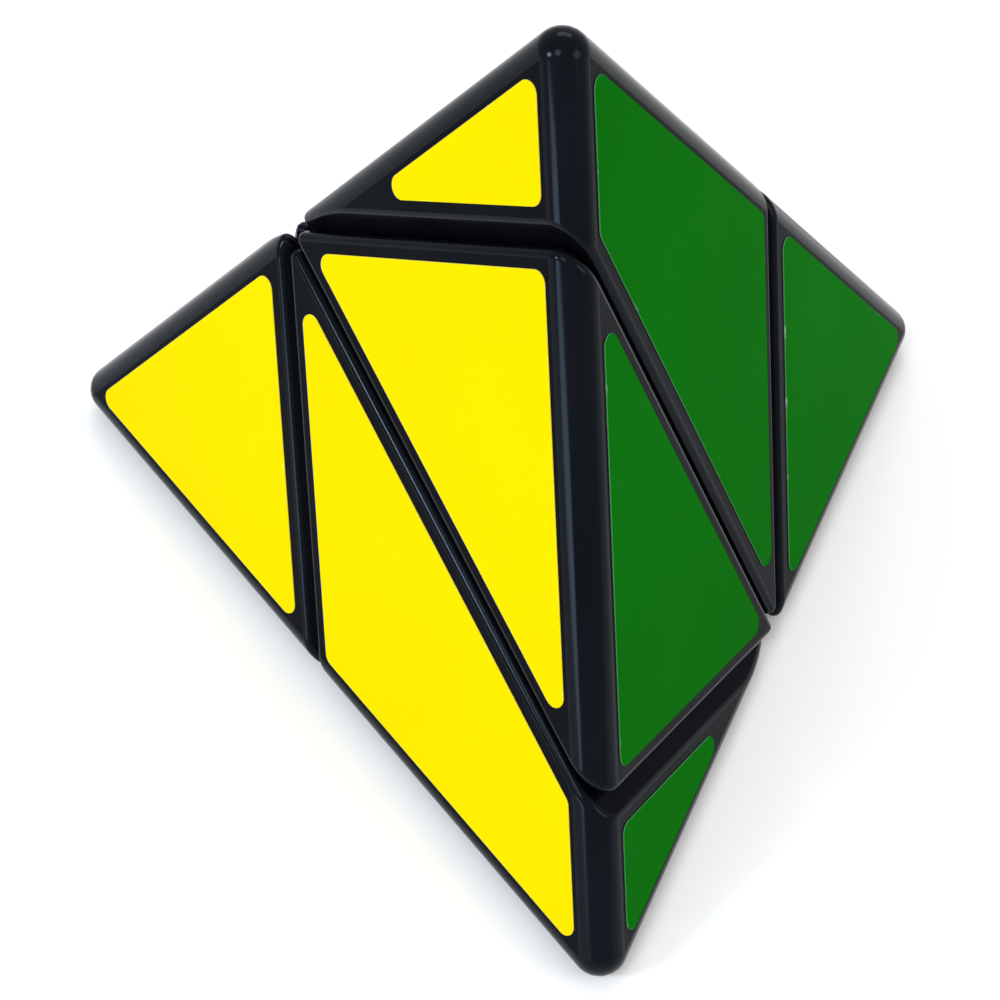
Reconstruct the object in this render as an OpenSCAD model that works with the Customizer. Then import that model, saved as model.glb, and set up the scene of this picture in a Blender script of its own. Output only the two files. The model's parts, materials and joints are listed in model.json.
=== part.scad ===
// Pyramid twisty puzzle: a tetrahedron cut by three planes that share one line.
// Six hollow wedges turn around a three-armed core. Three wedges (upper middle,
// left and right) are screwed to the core through springs, and the other three
// (top, front and lower middle) are held by feet that reach under those.
//
// Two frames are used. The puzzle frame has its origin at the core's centre, its
// Y axis along the line that the three cuts share, and one arm along Z. The part's
// own frame has its origin at the middle of the base face, +Z up and +Y to the back.

/* [Pyramid] */
// Edge of the sharp tetrahedron that the four faces lie on
edge_len = 95; // [78:1:120]
// Radius of the rounding along the pyramid's own edges
edge_round = 2.6; // [1.6:0.1:3.2]
// Radius of the rounding along the edges that the cuts make
cut_round = 0.85; // [0.4:0.05:1.2]

/* [Gaps] */
// Gap between two neighbouring wedges
wedge_gap = 0.4; // [0.3:0.1:1]
// Clearance between surfaces that slide over each other inside
run_gap = 0.3; // [0.2:0.05:0.4]

/* [Wedges] */
// Wall of an outer shell
shell_wall = 1.6; // [1.2:0.1:2]
// Thickness of the dome that closes a shell from inside
dome_t = 1.2; // [0.8:0.1:1.6]
// Least height of the hollow between a dome and its shell
hollow_min = 0.8; // [0.5:0.1:1.2]
// Thickness of a foot, measured outwards from the core
foot_t = 3.6; // [2.5:0.1:4.4]
// How far a foot reaches under the neighbouring wedge
foot_reach = 2.2; // [1.4:0.1:2.6]

/* [Core] */
// Wall of the ball around the core
ball_wall = 1.5; // [1:0.1:2]
// Radius of the hub where the three arms meet
hub_r = 5; // [4:0.5:6]
// Width of the hub along the line that the cuts share
hub_h = 8; // [7:0.5:10]
// Radius of an arm
arm_r = 3; // [2.6:0.1:3.4]

/* [Screws and springs] */
// Radius of a screw's shank
screw_r = 1.25; // [1:0.05:1.5]
// Radius of a screw's head
head_r = 2.6; // [2.2:0.1:3]
// Height of a screw's head
head_t = 1.7; // [1.2:0.1:2.2]
// Depth of a screw in its arm
screw_grip = 6; // [4:0.5:7]
// Width of the cross slot in a screw's head
slot_w = 0.7; // [0.5:0.1:0.9]
// Length of the cross slot in a screw's head
slot_len = 3.1; // [2.4:0.1:3.8]
// Outer radius of a washer
washer_r = 2.7; // [2.4:0.1:3]
// Thickness of a washer
washer_t = 0.5; // [0.3:0.1:0.8]
// Outer radius of a spring
spring_r = 2.5; // [2:0.1:2.8]
// Thickness of a spring's wire
wire_d = 0.5; // [0.4:0.1:0.7]
// Height of a spring at rest
spring_len = 3; // [2.5:0.1:3.4]
// How far the floor under a spring lies below the dome's inner surface
spring_sink = 2; // [1.2:0.1:2.4]
// Clearance around a screw's shank and around a washer
screw_gap = 0.35; // [0.2:0.05:0.5]
// Wall of the tube around a spring
tube_wall = 0.9; // [0.7:0.1:1.2]

/* [Stickers] */
// Thickness of a sticker
sticker_t = 0.15; // [0.1:0.05:0.3]
// Gap that the glue fills under a sticker
glue_t = 0.005; // [0.002:0.001:0.02]
// Bare border between a sticker and the rounding along a pyramid's edge
edge_margin = 0.5; // [0.2:0.1:1.5]
// Bare border between a sticker and the rounding along a cut
cut_margin = 1; // [0.5:0.1:2]
// Radius of a sticker's corners
sticker_round = 1.2; // [0.6:0.1:2]

/* [Hidden] */
$fn = 72;
eps = 0.01;
cut_angle = 60;
far = 3 * edge_len;
unit_len = edge_len / (2 * sqrt(2));
insphere = unit_len / sqrt(3);
face_h = insphere + glue_t + sticker_t;

// Radii of the turning surfaces, from the faces inwards
seat_r = insphere - shell_wall - hollow_min;
dome_r = seat_r - dome_t;
foot_top_r = dome_r - run_gap;
foot_low_r = foot_top_r - foot_t;
ball_r = foot_low_r - run_gap;

// Heights along an arm; an arm's rim ends level with the ball
arm_len = sqrt(ball_r * ball_r - arm_r * arm_r);
spring_z = dome_r - spring_sink;
washer_z = spring_z + spring_len;
head_z = washer_z + washer_t;
bore_r = screw_r + screw_gap;
tube_r = washer_r + screw_gap;

// Planes as [outward normal, distance]; the pyramid's faces are named by colour
yellow = [[-1, 1, 1] / sqrt(3), insphere];
green = [[1, -1, 1] / sqrt(3), insphere];
red = [[1, 1, -1] / sqrt(3), insphere];
blue = [[-1, -1, -1] / sqrt(3), insphere];

// Wedges, each by its turn about Y
TOP = 60;
FRONT = -60;
LEFT = -120;
RIGHT = 120;
UPPER = 0;
LOWER = 180;

// ---- Vectors and planes ----

function cut_normal(angle) = [cos(angle), 0, sin(angle)];

// A wedge's own two cut planes, moved in by half of the gap. They lean half a
// cut angle from the wedge's middle.
function side_planes(wedge) = [
    [cut_normal(-wedge - cut_angle / 2), -wedge_gap / 2],
    [cut_normal(-wedge + 180 + cut_angle / 2), -wedge_gap / 2]];

// The plane that touches a rounding between planes, nearer to those that weigh more
function touching(planes, weights, radius) =
    let (sum = weights * [for (p = planes) p[0]], size = norm(sum))
    [sum / size, weights * [for (p = planes) p[1] - radius] / size + radius];

// Planes that stand in for the round edge between two planes
function round_edge(a, b, radius, steps) =
    [for (i = [1:steps]) touching([a, b], [steps + 1 - i, i], radius)];

// Planes that stand in for the round corner between three planes
function round_corner(three, radius) =
    [for (w = [[2, 1, 1], [1, 2, 1], [1, 1, 2]]) touching(three, w, radius)];

// Every flat and rounded side of a wedge's outer shell
function shell_planes(outside, sides) = concat(outside, sides,
    [for (i = [0:len(outside) - 1]) for (j = [i + 1:1:len(outside) - 1])
        each round_edge(outside[i], outside[j], edge_round, 4)],
    [for (a = outside) for (b = sides) each round_edge(a, b, cut_round, 2)],
    len(outside) == 3 ? round_corner(outside, edge_round) : []);

// ---- Placing ----

// Takes the puzzle frame to the part's own frame
module place()
    translate([0, 0, face_h])
        rotate([0, -atan(sqrt(2)), 90]) rotate([0, 0, -45]) children();

// Turns a shape that points along Z to point along a wedge's middle
module along(wedge) rotate([0, wedge, 0]) children();

// ---- Shared shapes ----

// The side of a plane that its normal points away from
module half_space(plane, inset)
    rotate([0, acos(plane[0][2]), atan2(plane[0][1], plane[0][0])])
        translate([-far / 2, -far / 2, plane[1] - inset - far]) cube(far);

// Convex solid with sharp corners
module sharp_solid(planes, inset = 0)
    intersection_for (plane = planes) half_space(plane, inset);

// Prism along Y over the sector between two planes that lean half a cut angle
// from Z, with both sides moved in, or out by a negative inset
module sector(inset) {
    half = cut_angle / 2;
    tip = [0, inset / sin(half)];
    rotate([90, 0, 0]) linear_extrude(far, center = true)
        polygon([tip, tip + far * [sin(half), cos(half)], tip + far * [-sin(half), cos(half)]]);
}

// The part of children() above a height
module above(height) intersection() {
    children();
    translate([-far / 2, -far / 2, height]) cube(far);
}

// Ball with its poles on the line that the cuts share
module ball(radius) rotate([90, 0, 0]) sphere(radius);

// Part of a hollow ball that lies in children()
module ball_layer(inner, outer) difference() {
    intersection() {
        ball(outer);
        children();
    }
    ball(inner);
}

// ---- Core ----

module core_spider() color("dimgray") place() difference() {
    union() {
        rotate([90, 0, 0]) cylinder(hub_h, r = hub_r, center = true);
        for (wedge = [UPPER, LEFT, RIGHT]) along(wedge) cylinder(arm_len, r = arm_r);
    }
    for (wedge = [UPPER, LEFT, RIGHT])
        along(wedge) translate([0, 0, ball_r - screw_grip]) cylinder(far, r = screw_r);
}

// Half of the ball around the spider; side is 1 or -1 along Y
module core_ball(side) color("gray") place() difference() {
    ball(ball_r);
    ball(ball_r - ball_wall);
    for (wedge = [UPPER, LEFT, RIGHT]) along(wedge) cylinder(far, r = arm_r);
    translate([-far / 2, side > 0 ? -far : 0, -far / 2]) cube(far);
}

module screw(wedge) color("silver") place() along(wedge) difference() {
    union() {
        translate([0, 0, ball_r - screw_grip]) cylinder(head_z + eps - ball_r + screw_grip, r = screw_r);
        translate([0, 0, head_z]) cylinder(head_t, r = head_r);
    }
    for (turn = [0, 90]) rotate([0, 0, turn])
        translate([-slot_len / 2, -slot_w / 2, head_z + head_t / 2]) cube([slot_len, slot_w, head_t]);
}

module washer(wedge) color("lightgray") place() along(wedge)
    translate([0, 0, washer_z]) difference() {
        cylinder(washer_t, r = washer_r);
        cylinder(far, r = screw_r, center = true);
    }

// A spring stands as the sleeve that its coils fill
module spring(wedge) color("gold") place() along(wedge)
    translate([0, 0, spring_z]) difference() {
        cylinder(spring_len, r = spring_r);
        cylinder(far, r = spring_r - wire_d, center = true);
    }

// ---- Wedges ----

// Outer shell of the wedge that the given faces and its two cuts bound
module shell(wedge, outside) color([0.06, 0.06, 0.07]) place() {
    planes = shell_planes(outside, side_planes(wedge));
    difference() {
        sharp_solid(planes);
        sharp_solid(planes, shell_wall);
        ball(seat_r);
    }
}

// Inner half of a wedge that a foot holds: a dome, and a foot on a neck below it.
// Neck and foot stay above the feet that slide past under the dome.
module foot(wedge) color([0.1, 0.1, 0.11]) place() along(wedge) {
    lowest = foot_reach + run_gap / 2;
    union() {
        ball_layer(dome_r, seat_r) sector(wedge_gap / 2);
        ball_layer(foot_top_r - eps, dome_r + eps) above(lowest) sector(wedge_gap / 2);
        ball_layer(foot_low_r, foot_top_r) above(lowest) sector(run_gap / 2 - foot_reach);
    }
}

// Inner half of a wedge that a screw holds: a dome with a stem below it, and a
// tube above it for the spring
module seat(wedge) color([0.1, 0.1, 0.11]) place() along(wedge) {
    difference() {
        union() {
            ball_layer(dome_r, seat_r) sector(wedge_gap / 2);
            ball_layer(foot_low_r, dome_r + eps) sector(foot_reach + run_gap / 2);
            translate([0, 0, dome_r]) cylinder(washer_z - dome_r, r = tube_r + tube_wall);
        }
        cylinder(far, r = bore_r);
        translate([0, 0, spring_z]) cylinder(far, r = tube_r);
    }
}

// ---- Stickers ----

// Where two lines of a flat outline cross; a line is [unit normal, distance]
function cross_lines(a, b) =
    [a[1] * b[0][1] - b[1] * a[0][1], a[0][0] * b[1] - b[0][0] * a[1]]
        / (a[0][0] * b[0][1] - a[0][1] * b[0][0]);

// The line on a face, in the face's own x and y, along which a sticker ends
// beside a neighbouring plane: past the rounding between the two, and a margin
function border(face, beside, radius, margin) =
    let (n = face[0], m = beside[0],
        tilt = acos(n[2]), spin = atan2(n[1], n[0]),
        across = [m * [cos(tilt) * cos(spin), cos(tilt) * sin(spin), -sin(tilt)],
            m * [-sin(spin), cos(spin), 0]],
        solid_angle = 180 - acos(n * m),
        rounding = radius / tan(solid_angle / 2))
    [across / norm(across),
        (beside[1] - (m * n) * face[1]) / norm(across) - rounding - margin];

// A sticker on one face, between the planes beside it, taken in turn
module sticker(face, outer_planes, cuts, order) place() {
    borders = concat([for (p = outer_planes) border(face, p, edge_round, edge_margin)],
        [for (p = cuts) border(face, p, cut_round, cut_margin)]);
    outline = [for (i = [0:len(order) - 1])
        cross_lines(borders[order[i]], borders[order[(i + 1) % len(order)]])];
    rotate([0, acos(face[0][2]), atan2(face[0][1], face[0][0])]) translate([0, 0, insphere + glue_t])
        linear_extrude(sticker_t) offset(r = sticker_round, $fn = 32)
            offset(delta = -sticker_round) polygon(outline);
}

// The three kinds of sticker on a corner wedge, and the one on a middle wedge
module narrow_sticker(face, a, b, wedge, side)
    sticker(face, [a, b], [side_planes(wedge)[side]], [0, 1, 2]);
module middle_sticker(face, beside, wedge)
    sticker(face, [beside], side_planes(wedge), [0, 1, 2]);
module wide_sticker(face, a, b, wedge, side)
    sticker(face, [a, b], [side_planes(wedge)[side], side_planes(wedge)[1 - side]], [0, 1, 2, 3]);

module yellow_vinyl() color([1, 0.93, 0]) children();
module green_vinyl() color([0, 0.45, 0.06]) children();
module red_vinyl() color([0.8, 0.05, 0.05]) children();
module blue_vinyl() color([0.03, 0.15, 0.6]) children();

// ---- Nodes ----

core_spider();
core_ball(1);  // core_ball_left
core_ball(-1);  // core_ball_right
screw(UPPER);  // screw_upper_middle
screw(LEFT);  // screw_left
screw(RIGHT);  // screw_right
washer(UPPER);  // washer_upper_middle
washer(LEFT);  // washer_left
washer(RIGHT);  // washer_right
spring(UPPER);  // spring_upper_middle
spring(LEFT);  // spring_left
spring(RIGHT);  // spring_right
shell(TOP, [yellow, green, red]);  // shell_top
shell(FRONT, [green, yellow, blue]);  // shell_front
shell(LEFT, [red, blue, yellow]);  // shell_left
shell(RIGHT, [blue, red, green]);  // shell_right
shell(UPPER, [yellow, green]);  // shell_upper_middle
shell(LOWER, [red, blue]);  // shell_lower_middle
foot(TOP);  // foot_top
foot(FRONT);  // foot_front
foot(LOWER);  // foot_lower_middle
seat(UPPER);  // seat_upper_middle
seat(LEFT);  // seat_left
seat(RIGHT);  // seat_right
yellow_vinyl() narrow_sticker(yellow, green, red, TOP, 1);  // sticker_yellow_top
yellow_vinyl() middle_sticker(yellow, green, UPPER);  // sticker_yellow_middle
yellow_vinyl() wide_sticker(yellow, green, blue, FRONT, 1);  // sticker_yellow_front
yellow_vinyl() narrow_sticker(yellow, red, blue, LEFT, 0);  // sticker_yellow_left
green_vinyl() wide_sticker(green, yellow, red, TOP, 0);  // sticker_green_top
green_vinyl() middle_sticker(green, yellow, UPPER);  // sticker_green_middle
green_vinyl() narrow_sticker(green, yellow, blue, FRONT, 0);  // sticker_green_front
green_vinyl() narrow_sticker(green, blue, red, RIGHT, 1);  // sticker_green_right
red_vinyl() narrow_sticker(red, yellow, green, TOP, 0);  // sticker_red_top
red_vinyl() narrow_sticker(red, blue, yellow, LEFT, 1);  // sticker_red_left
red_vinyl() wide_sticker(red, blue, green, RIGHT, 1);  // sticker_red_right
red_vinyl() middle_sticker(red, blue, LOWER);  // sticker_red_middle
blue_vinyl() narrow_sticker(blue, green, yellow, FRONT, 1);  // sticker_blue_front
blue_vinyl() wide_sticker(blue, red, yellow, LEFT, 0);  // sticker_blue_left
blue_vinyl() narrow_sticker(blue, red, green, RIGHT, 0);  // sticker_blue_right
blue_vinyl() middle_sticker(blue, red, LOWER);  // sticker_blue_middle
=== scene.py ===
import json
import math

import bmesh
import bpy
from mathutils import Matrix, Vector, geometry, kdtree


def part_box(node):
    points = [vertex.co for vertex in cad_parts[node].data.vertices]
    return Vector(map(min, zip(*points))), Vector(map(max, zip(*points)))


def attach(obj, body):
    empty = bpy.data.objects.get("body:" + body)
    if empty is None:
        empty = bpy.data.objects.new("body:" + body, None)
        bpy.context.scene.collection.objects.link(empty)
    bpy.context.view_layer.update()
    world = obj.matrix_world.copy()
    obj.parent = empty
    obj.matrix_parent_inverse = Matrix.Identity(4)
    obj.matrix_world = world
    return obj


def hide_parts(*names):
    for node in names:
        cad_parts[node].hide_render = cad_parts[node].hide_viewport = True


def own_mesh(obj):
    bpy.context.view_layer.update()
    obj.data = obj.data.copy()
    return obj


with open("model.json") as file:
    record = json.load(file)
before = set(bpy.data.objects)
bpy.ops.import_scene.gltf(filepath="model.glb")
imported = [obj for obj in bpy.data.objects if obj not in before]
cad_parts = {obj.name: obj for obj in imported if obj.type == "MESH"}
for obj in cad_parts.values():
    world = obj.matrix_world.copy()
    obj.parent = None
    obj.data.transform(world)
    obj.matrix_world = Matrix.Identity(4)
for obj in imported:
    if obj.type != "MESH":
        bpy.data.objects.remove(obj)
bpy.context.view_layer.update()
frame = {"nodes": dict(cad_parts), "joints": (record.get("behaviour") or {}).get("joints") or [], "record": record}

# Pyramid twisty puzzle: six hollow black wedges with vinyl stickers around a sprung core.
# Shapes are worked out in the puzzle's own frame, in millimetres: origin at the core's
# centre, Y along the line that the three cuts share, one screwed wedge's arm along Z.

MM = 0.001

# ---- Driving dimensions, in millimetres ----
EDGE_ROUND = 2.6        # rounding along the pyramid's own edges
CUT_ROUND = 0.85        # rounding along the edges that the cuts make
SHELL_WALL = 1.6
HOLLOW_MIN = 0.8        # least height of the hollow between a shell and the dome that closes it
WEDGE_GAP = 0.4         # gap between two neighbouring wedges
GLUE_T = 0.005          # gap that the glue fills under a sticker
TOUCH = 1e-3            # points nearer than this are the same point
TURN_OF = {             # each wedge's turn about Y in degrees
    "top": 60, "front": -60, "left": -120, "right": 120, "upper_middle": 0, "lower_middle": 180}

# ---- The frame ----
record = frame["record"]
joints = {j["name"]: j for j in frame["joints"]}
body_of_node = {node: body for body, nodes in record["behaviour"]["bodies"].items() for node in nodes}
centre = Vector(joints["upper_turn"]["pos_m"])
axis_z = Vector(joints["upper_turn"]["axis"]).normalized()
axis_y = axis_z.cross(Vector(joints["right_lift"]["axis"])).normalized()
axis_x = axis_y.cross(axis_z)
to_part = (Matrix.Translation(centre) @ Matrix((axis_x, axis_y, axis_z)).transposed().to_4x4()
           @ Matrix.Scale(MM, 4))
to_puzzle = to_part.inverted()
NORMALS = {name: Vector(v).normalized() for name, v in {
    "yellow": (-1, 1, 1), "green": (1, -1, 1), "red": (1, 1, -1), "blue": (-1, -1, -1)}.items()}
base_low, base_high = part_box("sticker_blue_middle")
STICKER_T = (base_high.z - base_low.z) / MM
INSPHERE = centre.z / MM - STICKER_T - GLUE_T
SEAT_R = INSPHERE - SHELL_WALL - HOLLOW_MIN     # the sphere where a shell ends and its inner half starts


def side_normal(degrees):
    return Vector((math.cos(math.radians(degrees)), 0, math.sin(math.radians(degrees))))


def side_planes(wedge):
    turn = TURN_OF[wedge]
    return [(side_normal(-turn - 30), -WEDGE_GAP / 2), (side_normal(210 - turn), -WEDGE_GAP / 2)]


# ---- Mesh helpers ----

def new_object(name, bm, material=None):
    """A mesh object from a bmesh in the puzzle's frame."""
    mesh = bpy.data.meshes.new(name)
    bm.to_mesh(mesh)
    bm.free()
    mesh.transform(to_part)
    obj = bpy.data.objects.new(name, mesh)
    bpy.context.scene.collection.objects.link(obj)
    if material:
        mesh.materials.append(material)
    return obj


def hull_of(points):
    """The convex hull of some points, as a bmesh without its inner points."""
    bm = bmesh.new()
    for p in points:
        bm.verts.new(p)
    result = bmesh.ops.convex_hull(bm, input=bm.verts)
    inner = [g for g in result["geom_interior"] if isinstance(g, bmesh.types.BMVert)]
    bmesh.ops.delete(bm, geom=inner, context="VERTS")
    loose = [v for v in bm.verts if not v.link_faces]
    bmesh.ops.delete(bm, geom=loose, context="VERTS")
    return bm


def cut_solid(points, planes):
    """The convex hull of some points, cut off beyond each plane."""
    bm = hull_of(points)
    for normal, distance in planes:
        bmesh.ops.bisect_plane(bm, geom=bm.verts[:] + bm.edges[:] + bm.faces[:],
                               plane_co=normal * distance, plane_no=normal, clear_outer=True, dist=1e-5)
        points = [v.co.copy() for v in bm.verts]
        bm.free()
        bm = hull_of(points)
    return bm


def apply_modifiers(obj):
    """Bakes an object's modifiers into its mesh."""
    graph = bpy.context.evaluated_depsgraph_get()
    mesh = bpy.data.meshes.new_from_object(obj.evaluated_get(graph))
    obj.modifiers.clear()
    obj.data = mesh
    return obj


def spread(normals, steps):
    """Directions spread evenly over the corner between two or three normals."""
    if len(normals) == 2:
        weights = [(steps - i, i) for i in range(steps + 1)]
    else:
        weights = [(i, j, steps - i - j) for i in range(steps + 1) for j in range(steps + 1 - i)]
    return [sum((n * w for n, w in zip(normals, ws)), Vector()).normalized() for ws in weights]


# ---- Shells ----

SEAT_DEPTH = 0.12       # how far the middle of a seat's face may lie from the true sphere
FLAT_COSINE = 0.9995    # below this, a point's normal says that its face is on a rounded edge
SKELETON = [-n * 3 * (INSPHERE - EDGE_ROUND) for n in NORMALS.values()]    # centres of the round corners


def corner_points(radius, steps=12):
    """Points on the pyramid's round corners, at a radius around their centres."""
    points = []
    for c in SKELETON:
        around = [n for n in NORMALS.values() if n.dot(c) > 0]
        points += [c + n * radius for n in spread(around, steps)]
    return points


def outer_normal(p):
    """The rounded pyramid's normal at a point on it."""
    for n in NORMALS.values():
        if all((p - c).dot(n) > 0 for c in SKELETON) and over_face(p, n):
            return n
    nearest = None
    for i in range(4):
        for j in range(i + 1, 4):
            t = geometry.intersect_point_line(p, SKELETON[i], SKELETON[j])[1]
            q = SKELETON[i].lerp(SKELETON[j], min(1, max(0, t)))
            if nearest is None or (p - q).length < (p - nearest).length:
                nearest = q
    return (p - nearest).normalized()


def over_face(p, normal):
    """Whether a point lies over the flat part of the face that has that normal."""
    corners = [c for c in SKELETON if c.dot(normal) > 0]
    foot = p - normal * (p - corners[0]).dot(normal)
    middle = sum(corners, Vector()) / 3
    for i in range(3):
        a, b = corners[i], corners[(i + 1) % 3]
        out = (b - a).cross(normal)
        if out.dot(middle - a) > 0:
            out = -out
        if (foot - a).dot(out.normalized()) > 1e-4:
            return False
    return True


def rounded_wedge(wedge, cut_steps=7):
    """Points of a wedge's outside with its rounded edges, and each point's normal."""
    sides = side_planes(wedge)
    core = cut_solid(corner_points(EDGE_ROUND - CUT_ROUND), [(n, d - CUT_ROUND) for n, d in sides])
    points, normals = [], []
    for v in core.verts:
        facing = [outer_normal(v.co)]
        facing += [n for n, d in sides if abs(v.co.dot(n) - d + CUT_ROUND) < TOUCH]
        for n in (facing if len(facing) == 1 else spread(facing, cut_steps)):
            points.append(v.co + n * CUT_ROUND)
            normals.append(n)
    core.free()
    return points, normals


def cutter(name, bm):
    obj = new_object(name, bm)
    obj.hide_render = True
    return obj


def subtract(obj, tool):
    modifier = obj.modifiers.new("cut", "BOOLEAN")
    modifier.operation = "DIFFERENCE"
    modifier.solver = "MANIFOLD"
    modifier.object = tool


def ball_bmesh(radius, segments=128, rings=64):
    """A ball whose poles lie on the line that the cuts share."""
    bm = bmesh.new()
    bmesh.ops.create_uvsphere(bm, u_segments=segments, v_segments=rings, radius=radius,
                              matrix=Matrix.Rotation(math.pi / 2, 4, "X"))
    return bm


def finish_faces(obj, points, normals):
    """Exact shading: rounded points keep their own normals, and flats and the seat their true ones.

    Faces on a rounded edge take the shell's second material.
    """
    tree = kdtree.KDTree(len(points))
    for i, p in enumerate(points):
        tree.insert(p, i)
    tree.balance()
    mesh = obj.data
    spin = to_part.to_3x3().normalized()
    place = [to_puzzle @ v.co for v in mesh.vertices]
    known = [tree.find(p) for p in place]
    loops = []
    for face in mesh.polygons:
        middle = to_puzzle @ face.center
        flat = (to_puzzle.to_3x3() @ face.normal).normalized()
        seat = abs(middle.length - SEAT_R) < SEAT_DEPTH and flat.dot(middle.normalized()) < -0.9
        on_round = False
        for index in face.vertices:
            _, which, distance = known[index]
            if seat:
                n = -place[index].normalized()
            elif distance < TOUCH and normals[which].dot(flat) > 0.5:
                n = normals[which]
                on_round = on_round or n.dot(flat) < FLAT_COSINE
            else:
                n = flat
            loops.append((spin @ n).normalized())
        face.material_index = 1 if on_round else 0
    mesh.shade_smooth()
    mesh.normals_split_custom_set(loops)


def make_shell(wedge, flat_material, round_material):
    """A wedge's shell: rounded outside, hollow, and cut out where its inner half closes it."""
    points, normals = rounded_wedge(wedge)
    shell = new_object("wedge_shell_" + wedge, hull_of(points), flat_material)
    shell.data.materials.append(round_material)
    hollow_sides = [(n, d - SHELL_WALL) for n, d in side_planes(wedge)]
    hollow = cutter("hollow", cut_solid(corner_points(EDGE_ROUND - SHELL_WALL, 4), hollow_sides))
    ball = cutter("ball", ball_bmesh(SEAT_R))
    subtract(shell, hollow)
    subtract(shell, ball)
    apply_modifiers(shell)
    for tool in (hollow, ball):
        bpy.data.objects.remove(tool)
    finish_faces(shell, points, normals)
    return shell


# ---- Stickers ----

# A sticker's soft edge: how far in from its outline, and how high from its outer face, each ring lies
STICKER_RINGS = [(0.0, -STICKER_T), (0.0, -0.06), (0.012, -0.024), (0.035, -0.007), (0.07, 0.0),
                 (0.2, 0.0), (0.45, 0.0), (0.9, 0.0)]
RIM_RINGS = 2           # the faces between the first of them are the vinyl's cut rim


def sticker_outline(node, normal):
    """The outline of a sticker's outer face, in turn, from its CAD node."""
    corners = {}
    for v in frame["nodes"][node].data.vertices:
        p = to_puzzle @ v.co
        if p.dot(normal) > INSPHERE + STICKER_T / 2:
            corners[tuple(round(x, 3) for x in p)] = p
    points = list(corners.values())
    middle = sum(points, Vector()) / len(points)
    across = (points[0] - middle).normalized()
    along = normal.cross(across)
    points.sort(key=lambda p: math.atan2((p - middle).dot(along), (p - middle).dot(across)))
    return points


def make_sticker(node, normal, top_material, rim_material):
    """A vinyl sticker: its CAD outline with a soft top edge."""
    outline = sticker_outline(node, normal)
    count = len(outline)
    inward = []
    for i, p in enumerate(outline):
        before = (p - outline[i - 1]).normalized()
        after = (outline[(i + 1) % count] - p).normalized()
        lean = (normal.cross(before) + normal.cross(after)).normalized()
        inward.append(lean / max(0.5, lean.dot(normal.cross(before))))
    bm = bmesh.new()
    depth = bm.verts.layers.float.new("edge_mm")
    made = []
    for inset, height in STICKER_RINGS:
        ring = []
        for p, lean in zip(outline, inward):
            v = bm.verts.new(p + lean * inset + normal * height)
            v[depth] = inset
            ring.append(v)
        made.append(ring)
    for k, (a, b) in enumerate(zip(made, made[1:])):
        for i in range(count):
            face = bm.faces.new((a[i], a[(i + 1) % count], b[(i + 1) % count], b[i]))
            face.material_index = 1 if k < RIM_RINGS else 0
    bm.faces.new(made[-1])
    bm.faces.new(list(reversed(made[0])))
    bmesh.ops.recalc_face_normals(bm, faces=bm.faces)
    name = "vinyl_" + node.replace("sticker_", "")
    obj = new_object(name, bm, top_material)
    obj.data.materials.append(rim_material)
    obj.data.shade_smooth()
    obj.data.set_sharp_from_angle(angle=math.radians(60))
    return obj


# ---- Screws, washers and springs ----

def arm_of(name):
    return Matrix.Rotation(math.radians(TURN_OF[name]), 4, "Y")


def span_on_arm(node, name):
    """Where a CAD node starts and ends along an arm, and how far it reaches from it."""
    inverse = arm_of(name).inverted()
    points = [inverse @ (to_puzzle @ v.co) for v in frame["nodes"][node].data.vertices]
    return (min(p.z for p in points), max(p.z for p in points),
            max(math.hypot(p.x, p.y) for p in points))


def lathe(bm, profile, segments, place):
    """Turns a closed profile of (radius, height) points about Z."""
    rings = []
    for i in range(segments):
        turn = 2 * math.pi * i / segments
        rings.append([bm.verts.new(place @ Vector((r * math.cos(turn), r * math.sin(turn), z)))
                      for r, z in profile])
    for a, b in zip(rings, rings[1:] + rings[:1]):
        for k in range(len(profile)):
            n = (k + 1) % len(profile)
            if profile[k][0] < 1e-6 and profile[n][0] < 1e-6:
                continue
            bm.faces.new((a[k], a[n], b[n], b[k]))
    bmesh.ops.remove_doubles(bm, verts=bm.verts, dist=1e-5)
    bmesh.ops.recalc_face_normals(bm, faces=bm.faces)


def soft_corner(corner, before, after, size, steps=4):
    """Profile points that round one corner."""
    corner, before, after = Vector(corner), Vector(before), Vector(after)
    start = corner + (before - corner).normalized() * size
    end = corner + (after - corner).normalized() * size
    points = []
    for i in range(steps + 1):
        t = i / steps
        p = start * (1 - t) ** 2 + corner * 2 * t * (1 - t) + end * t ** 2
        points.append((p.x, p.y))
    return points


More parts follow.
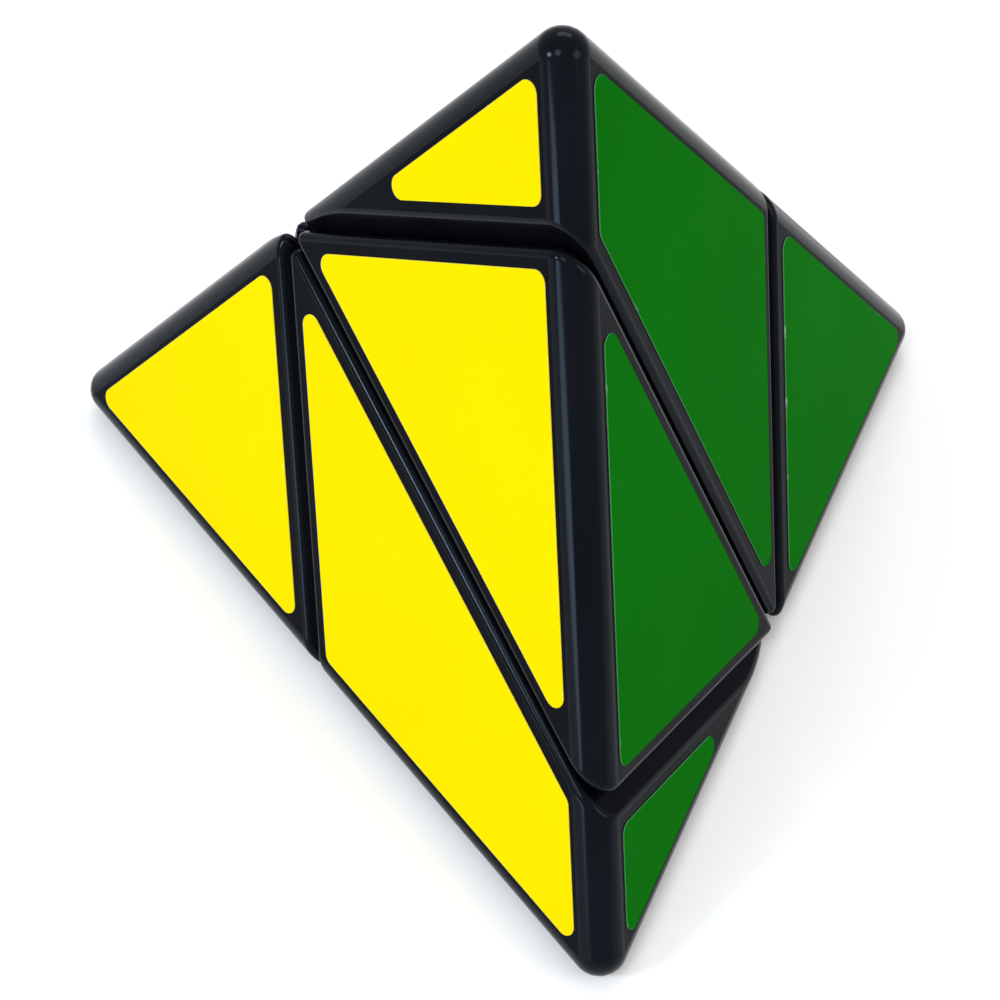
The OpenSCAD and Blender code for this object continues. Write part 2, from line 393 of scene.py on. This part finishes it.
def make_screw(name, material, head_t=1.7, head_r=2.6, shank_r=1.25, pitch=0.6, slot_w=0.62,
               thread_start=1.0, thread_end=5.2):
    """A pan head screw with a cross slot and threads in place of the CAD shank's tip."""
    low, high, _ = span_on_arm("screw_" + name, name)
    head_z = high - head_t
    core_r = shank_r * 0.86
    neck_r = shank_r * 0.92
    threads = []
    z = low + thread_start
    while z < low + thread_end:
        threads += [(core_r, z), (shank_r, z + pitch / 2)]
        z += pitch
    dome = [(head_r * math.cos(a), head_z + head_t * (0.55 + 0.45 * math.sin(a)))
            for a in (math.radians(d) for d in range(0, 90, 9))]
    profile = [(0, low), (shank_r * 0.3, low)] + threads + [(neck_r, z), (neck_r, head_z)]
    profile += soft_corner((head_r, head_z), (0, head_z), (head_r, high), 0.15)
    profile += dome + [(0, high)]
    bm = bmesh.new()
    lathe(bm, profile, 48, arm_of(name))
    screw = new_object("pan_screw_" + name, bm, material)
    for turn in (0, 90):
        bm = bmesh.new()
        place = arm_of(name) @ Matrix.Rotation(math.radians(turn), 4, "Z") @ Matrix.Translation(
            (0, 0, high)) @ Matrix.Diagonal((head_r * 1.1, slot_w, head_t * 1.1, 1))
        bmesh.ops.create_cube(bm, size=1, matrix=place)
        for v in bm.verts:
            local = arm_of(name).inverted() @ v.co
            if local.z < high:
                v.co = arm_of(name) @ Vector((local.x * 0.6, local.y * 0.6, local.z))
        slot = cutter("slot", bm)
        subtract(screw, slot)
        apply_modifiers(screw)
        bpy.data.objects.remove(slot)
    screw.data.shade_smooth()
    screw.data.set_sharp_from_angle(angle=math.radians(35))
    return screw


def make_washer(name, material, hole_r=1.3):
    """A flat ring washer with softened rims."""
    low, high, outer = span_on_arm("washer_" + name, name)
    profile = (soft_corner((hole_r, low), (hole_r, high), (outer, low), 0.08)
               + soft_corner((outer, low), (hole_r, low), (outer, high), 0.12)
               + soft_corner((outer, high), (outer, low), (hole_r, high), 0.12)
               + soft_corner((hole_r, high), (outer, high), (hole_r, low), 0.08))
    bm = bmesh.new()
    lathe(bm, profile, 64, arm_of(name))
    washer = new_object("ring_washer_" + name, bm, material)
    washer.data.shade_smooth()
    washer.data.set_sharp_from_angle(angle=math.radians(40))
    return washer


def make_spring(name, material, wire=0.5, turns=4.5, steps=32, sides=12):
    """A compression spring whose first and last turns lie closed."""
    low, high, outer = span_on_arm("spring_" + name, name)
    radius = outer - wire / 2
    rise = high - low - wire
    place = arm_of(name)
    bm = bmesh.new()
    rings = []
    count = int(turns * steps)
    for i in range(count + 1):
        t = i / count
        lift = min(1, max(0, (t * turns - 0.8) / (turns - 1.6)))
        turn = 2 * math.pi * turns * t
        out = Vector((math.cos(turn), math.sin(turn), 0))
        middle = out * radius + Vector((0, 0, low + wire / 2 + rise * lift))
        ring = []
        for k in range(sides):
            a = 2 * math.pi * k / sides
            ring.append(bm.verts.new(place @ (middle + (out * math.cos(a)
                                                        + Vector((0, 0, 1)) * math.sin(a)) * wire / 2)))
        rings.append(ring)
    for a, b in zip(rings, rings[1:]):
        for k in range(sides):
            bm.faces.new((a[k], a[(k + 1) % sides], b[(k + 1) % sides], b[k]))
    bm.faces.new(list(reversed(rings[0])))
    bm.faces.new(rings[-1])
    bmesh.ops.recalc_face_normals(bm, faces=bm.faces)
    spring = new_object("coil_spring_" + name, bm, material)
    spring.data.shade_smooth()
    spring.data.set_sharp_from_angle(angle=math.radians(60))
    return spring, high


# ---- Materials ----

def material_tree(name):
    material = bpy.data.materials.new(name)
    material.use_nodes = True
    nodes, links = material.node_tree.nodes, material.node_tree.links
    return material, nodes, links, nodes["Principled BSDF"]


def noise(nodes, links, scale, detail=2.0, stretch=None):
    """A noise texture in the object's own space; scale is in waves per metre."""
    place = nodes.new("ShaderNodeTexCoord")
    texture = nodes.new("ShaderNodeTexNoise")
    texture.inputs["Scale"].default_value = scale
    texture.inputs["Detail"].default_value = detail
    source = place.outputs["Object"]
    if stretch:
        mapping = nodes.new("ShaderNodeMapping")
        mapping.inputs["Scale"].default_value = stretch
        mapping.inputs["Rotation"].default_value = (0.4, 0.9, 0.3)
        links.new(source, mapping.inputs["Vector"])
        source = mapping.outputs["Vector"]
    links.new(source, texture.inputs["Vector"])
    return texture.outputs["Fac"]


def remap(nodes, links, value, low, high, to_low, to_high):
    node = nodes.new("ShaderNodeMapRange")
    for key, v in (("From Min", low), ("From Max", high), ("To Min", to_low), ("To Max", to_high)):
        node.inputs[key].default_value = v
    links.new(value, node.inputs["Value"])
    return node.outputs["Result"]


def combine(nodes, links, kind, a, b):
    node = nodes.new("ShaderNodeMath")
    node.operation = kind
    for i, v in enumerate((a, b)):
        if isinstance(v, (int, float)):
            node.inputs[i].default_value = v
        else:
            links.new(v, node.inputs[i])
    return node.outputs[0]


def mix_colour(nodes, links, factor, a, b):
    node = nodes.new("ShaderNodeMix")
    node.data_type = "RGBA"
    links.new(factor, node.inputs["Factor"])
    for key, v in (("A", a), ("B", b)):
        socket = [s for s in node.inputs if s.name == key and s.type == "RGBA"][0]
        if isinstance(v, tuple):
            socket.default_value = (*v, 1)
        else:
            links.new(v, socket)
    return [s for s in node.outputs if s.type == "RGBA"][0]


def add_bump(nodes, links, shader, height, strength, distance):
    bump = nodes.new("ShaderNodeBump")
    bump.inputs["Strength"].default_value = strength
    bump.inputs["Distance"].default_value = distance
    links.new(height, bump.inputs["Height"])
    links.new(bump.outputs["Normal"], shader.inputs["Normal"])


def moulded_plastic(name, dark, light, rough, grain, bump, gloss=0.5, tint=(1, 1, 1)):
    """Moulded plastic: slow changes of gloss, a fine skin, and hair scratches."""
    material, nodes, links, shader = material_tree(name)
    slow = noise(nodes, links, 70, 3)
    scratch = noise(nodes, links, 500, 4, stretch=(0.4, 9, 1.2))
    hair = remap(nodes, links, scratch, 0.60, 0.66, 0, 1)
    base = remap(nodes, links, slow, 0.3, 0.7, rough[0], rough[1])
    links.new(combine(nodes, links, "ADD", base, combine(nodes, links, "MULTIPLY", hair, 0.04)),
              shader.inputs["Roughness"])
    links.new(mix_colour(nodes, links, remap(nodes, links, slow, 0.3, 0.7, 0, 1), dark, light),
              shader.inputs["Base Color"])
    shader.inputs["Specular IOR Level"].default_value = gloss
    shader.inputs["Specular Tint"].default_value = (*tint, 1)
    add_bump(nodes, links, shader, noise(nodes, links, grain, 3), bump, 0.0001)
    return material


def vinyl(name, colour, shade, nick, sheen, gloss=0.005):
    """A gloss vinyl sticker: a soft change of tone, a light worn line at the edge, and nicks."""
    material, nodes, links, shader = material_tree(name)
    tone = remap(nodes, links, noise(nodes, links, 35, 2), 0.3, 0.7, 0, 1)
    body = mix_colour(nodes, links, tone, colour, shade)
    edge = nodes.new("ShaderNodeAttribute")
    edge.attribute_name = "edge_mm"
    near = remap(nodes, links, edge.outputs["Fac"], 0.02, 0.16, 1, 0)
    worn = combine(nodes, links, "MULTIPLY", near,
                   remap(nodes, links, noise(nodes, links, 420, 4), 0.64, 0.74, 0, 0.35))
    links.new(mix_colour(nodes, links, worn, body, nick), shader.inputs["Base Color"])
    shader.inputs["Specular IOR Level"].default_value = gloss
    shader.inputs["Specular Tint"].default_value = (*sheen, 1)
    links.new(remap(nodes, links, noise(nodes, links, 160, 3), 0.3, 0.7, 0.26, 0.36),
              shader.inputs["Roughness"])
    add_bump(nodes, links, shader, noise(nodes, links, 1400, 2), 0.01, 0.0001)
    return material


def bare_metal(name, dark, light, rough, stretch):
    material, nodes, links, shader = material_tree(name)
    shader.inputs["Metallic"].default_value = 1
    grain = noise(nodes, links, 1500, 3, stretch=stretch)
    links.new(mix_colour(nodes, links, grain, dark, light), shader.inputs["Base Color"])
    links.new(remap(nodes, links, grain, 0.3, 0.7, rough[0], rough[1]), shader.inputs["Roughness"])
    add_bump(nodes, links, shader, grain, 0.08, 0.0001)
    return material


# The blue cast of the black plastic, in both its tones and its specular tint, is a painted bluish reflection.
BLACK = {"dark": (0.0015, 0.0018, 0.0028), "light": (0.003, 0.0034, 0.005), "rough": (0.12, 0.18),
         "grain": 1700, "bump": 0.03, "tint": (0.62, 0.8, 1.0)}
shell_plastic = moulded_plastic("shell_plastic", gloss=0.03, **BLACK)
edge_plastic = moulded_plastic("edge_plastic", gloss=0.1, **BLACK)
inner_plastic = moulded_plastic("inner_plastic", (0.012, 0.012, 0.013), (0.02, 0.02, 0.022),
                                (0.34, 0.46), 2600, 0.12)
core_plastic = moulded_plastic("core_plastic", (0.06, 0.06, 0.065), (0.09, 0.09, 0.095),
                               (0.38, 0.5), 2600, 0.15)
screw_steel = bare_metal("screw_steel", (0.5, 0.5, 0.52), (0.7, 0.7, 0.72), (0.22, 0.34), (1, 1, 6))
washer_steel = bare_metal("washer_steel", (0.6, 0.6, 0.6), (0.75, 0.75, 0.75), (0.2, 0.3), (6, 1, 1))
spring_steel = bare_metal("spring_steel", (0.45, 0.45, 0.46), (0.62, 0.62, 0.64), (0.2, 0.32), (1, 6, 1))

# Each vinyl by name: main tone, second tone, worn nicks, and the tint of its sheen
VINYLS = {
    "yellow_vinyl": ((0.66, 0.515, 0.0), (0.635, 0.49, 0.0), (0.9, 0.86, 0.6), (1.0, 0.9, 0.25)),
    "green_vinyl": ((0.0, 0.138, 0.001), (0.0, 0.118, 0.0), (0.6, 0.75, 0.6), (0.25, 1.0, 0.5)),
    "red_vinyl": ((0.55, 0.01, 0.008), (0.48, 0.008, 0.006), (0.9, 0.7, 0.68), (1.0, 0.4, 0.35)),
    "blue_vinyl": ((0.004, 0.04, 0.33), (0.003, 0.032, 0.27), (0.65, 0.72, 0.9), (0.4, 0.55, 1.0)),
    "yellow_vinyl_rim": ((0.9, 0.8, 0.2), (0.86, 0.75, 0.15), (0.9, 0.86, 0.7), (1.0, 0.9, 0.25)),
    "green_vinyl_rim": ((0.06, 0.34, 0.08), (0.04, 0.29, 0.06), (0.8, 0.95, 0.8), (0.25, 1.0, 0.5)),
    "red_vinyl_rim": ((0.8, 0.16, 0.14), (0.72, 0.12, 0.1), (0.9, 0.8, 0.75), (1.0, 0.4, 0.35)),
    "blue_vinyl_rim": ((0.14, 0.24, 0.6), (0.1, 0.19, 0.52), (0.7, 0.8, 0.95), (0.4, 0.55, 1.0))}
vinyls = {name: vinyl(name, *look) for name, look in VINYLS.items()}

# ---- The puzzle's pieces ----

def place_piece(piece, node):
    """A piece that stands for a CAD node rides on that node's body."""
    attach(piece, body_of_node[node])
    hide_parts(node)


for wedge in TURN_OF:
    place_piece(make_shell(wedge, shell_plastic, edge_plastic), "shell_" + wedge)

for node in sorted(n for n in frame["nodes"] if n.startswith("sticker_")):
    colour = node.split("_")[1]
    top, rim = vinyls[colour + "_vinyl"], vinyls[colour + "_vinyl_rim"]
    place_piece(make_sticker(node, NORMALS[colour], top, rim), node)

for name, joint in (("upper_middle", "upper_middle_lift"), ("left", "left_lift"), ("right", "right_lift")):
    place_piece(make_screw(name, screw_steel), "screw_" + name)
    place_piece(make_washer(name, washer_steel), "washer_" + name)
    spring, top = make_spring(name, spring_steel)
    place_piece(spring, "spring_" + name)
    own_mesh(spring)

for node, obj in frame["nodes"].items():
    if node.startswith(("foot_", "seat_", "core_")):
        obj.data.materials.clear()
        obj.data.materials.append(core_plastic if node.startswith("core_") else inner_plastic)

# ---- Floor, light and camera ----

def floor_material():
    material, nodes, links, shader = material_tree("floor")
    tone = noise(nodes, links, 9, 3)
    links.new(mix_colour(nodes, links, tone, (0.86, 0.86, 0.86), (0.9, 0.9, 0.9)),
              shader.inputs["Base Color"])
    links.new(remap(nodes, links, tone, 0.3, 0.7, 0.55, 0.65), shader.inputs["Roughness"])
    return material


bpy.ops.mesh.primitive_plane_add(size=6, location=(0, 0, -0.00005))
floor = bpy.context.object
floor.name = "floor"
floor.data.materials.append(floor_material())


LIGHT_AIM = (0, 0, 0.03)


def area_light(name, location, size, power, colour):
    light = bpy.data.lights.new(name, "AREA")
    light.shape = "RECTANGLE"
    light.size, light.size_y = size
    light.energy = power
    light.color = colour
    obj = bpy.data.objects.new(name, light)
    obj.location = location
    obj.rotation_euler = (Vector(LIGHT_AIM) - Vector(location)).to_track_quat("-Z", "Y").to_euler()
    bpy.context.scene.collection.objects.link(obj)


area_light("key", (-0.35, -0.45, 0.8), (0.3, 0.3), 2.0, (0.95, 0.97, 1.0))
area_light("window", (-0.64, -0.5, 0.09), (0.3, 0.2), 1.5, (0.78, 0.9, 1.0))
area_light("strip", (-0.62, -0.22, 0.42), (0.14, 0.14), 2.5, (0.85, 0.93, 1.0))
area_light("fill", (0.6, -0.35, 0.45), (0.35, 0.35), 1.6, (1.0, 0.86, 0.72))
area_light("back", (0.15, 0.6, 0.7), (0.6, 0.3), 2.2, (1.0, 1.0, 1.0))

world = bpy.data.worlds.new("studio")
world.use_nodes = True
world.node_tree.nodes["Background"].inputs["Color"].default_value = (0.94, 0.97, 1, 1)
world.node_tree.nodes["Background"].inputs["Strength"].default_value = 0.85
bpy.context.scene.world = world
bpy.context.scene.view_settings.view_transform = "Standard"

# The camera, by where it looks from around the core: azimuth 0 looks along +Y
CAMERA = {"azimuth": 9.26, "elevation": 52.5, "roll": 2.7, "distance": 0.28607, "lens": 106}
CAMERA_AIM = Vector((-0.00425, -0.00466, 0.0155))


def add_camera():
    azimuth, elevation, roll = (math.radians(CAMERA[k]) for k in ("azimuth", "elevation", "roll"))
    forward = Vector((math.sin(azimuth) * math.cos(elevation), math.cos(azimuth) * math.cos(elevation),
                      -math.sin(elevation)))
    level = forward.cross(Vector((0, 0, 1))).normalized()
    above = level.cross(forward)
    right = level * math.cos(roll) + above * math.sin(roll)
    up = right.cross(forward)
    data = bpy.data.cameras.new("camera")
    data.sensor_width = 36
    data.lens = CAMERA["lens"]
    data.clip_start = 0.01
    camera = bpy.data.objects.new("camera", data)
    rotation = Matrix((right, up, -forward)).transposed().to_4x4()
    camera.matrix_world = Matrix.Translation(CAMERA_AIM - forward * CAMERA["distance"]) @ rotation
    bpy.context.scene.collection.objects.link(camera)
    bpy.context.scene.camera = camera


add_camera()
